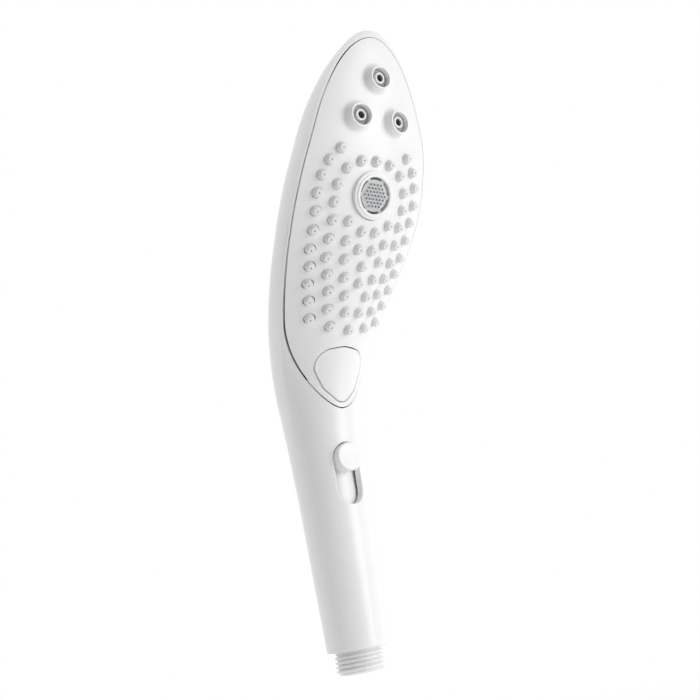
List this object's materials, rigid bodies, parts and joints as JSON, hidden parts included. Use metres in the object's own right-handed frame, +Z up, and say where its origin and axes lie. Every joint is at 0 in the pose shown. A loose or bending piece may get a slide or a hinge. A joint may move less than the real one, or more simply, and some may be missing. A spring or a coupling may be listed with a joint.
{
  "type": "handheld shower head",
  "caption": "Handheld shower head with a leaf-shaped spray face, a select button, a flow slider in the handle and a standard hose thread.",
  "frame": {"origin": "centre of the hose thread's end face, at the mouth of the waterway", "axes": "+Z up the handle's axis to the head, the spray face looks towards -Y, X across with the object symmetric about X = 0 outside"},
  "size_m": [0.068, 0.1033, 0.2602],
  "materials": {
    "white_abs": "satin gloss",
    "grey_plastic": "moulded",
    "grey_silicone": "soft silicone",
    "grey_matte": "fine matte",
    "dark_rubber": "moulded rubber",
    "steel": "drawn or turned"
  },
  "bodies": {
    "casing": {"rear_shell": "white_abs", "face_plate": "white_abs", "nozzle_mat": "grey_silicone", "centre_ring": "white_abs", "centre_jet_disc": "grey_matte", "jet_cups": "grey_matte", "jet_tips": "white_abs", "spray_manifold": "grey_plastic", "manifold_gasket": "dark_rubber", "water_chamber": "white_abs", "chamber_screws": "steel", "selector_axle": "steel", "selector_seals": "dark_rubber", "selector_cover": "grey_plastic", "button_spring": "steel", "water_tube": "white_abs", "tube_o_rings": "dark_rubber", "valve_gland": "grey_matte", "inlet_connector": "white_abs", "connector_o_ring": "dark_rubber", "strainer": "steel", "flow_regulator": "grey_matte", "check_valve_cage": "grey_plastic", "check_valve_spring": "steel"},
    "button": {"select_button": "white_abs", "button_pusher": "grey_plastic"},
    "selector": {"selector_disc": "grey_plastic"},
    "slider": {"slider_knob": "white_abs", "slider_carriage": "white_abs"},
    "spindle": {"flow_spindle": "grey_plastic", "spindle_o_rings": "dark_rubber"},
    "poppet": {"check_valve_poppet": "white_abs"}
  },
  "joints": [
    {"name": "button_press", "type": "slide", "parent": "casing", "child": "button", "axis": [0, 0.9135, 0.4067], "range_m": [0, 0.0025], "stiffness_N_per_m": 1200, "springref_m": -0.001, "deforming": ["button_spring"]},
    {"name": "selector_turn", "type": "hinge", "parent": "casing", "child": "selector", "pos_m": [0, -0.0023, 0.13395], "axis": [0, -0.9135, -0.4067], "continuous": true},
    {"name": "slider_slide", "type": "slide", "parent": "casing", "child": "slider", "axis": [0, 0, -1], "range_m": [0, 0.0136]},
    {"name": "spindle_turn", "type": "hinge", "parent": "casing", "child": "spindle", "pos_m": [0, 0.0024, 0.083], "axis": [1, 0, 0], "range_deg": [0, 81.5]},
    {"name": "poppet_lift", "type": "slide", "parent": "casing", "child": "poppet", "axis": [0, 0, 1], "range_m": [0, 0.0025], "stiffness_N_per_m": 150, "springref_m": -0.001, "deforming": ["check_valve_spring"]}
  ],
  "couplings": [
    {"joint": "spindle_turn", "follows": "slider_slide", "rad_per_m": 104.17}
  ]
}
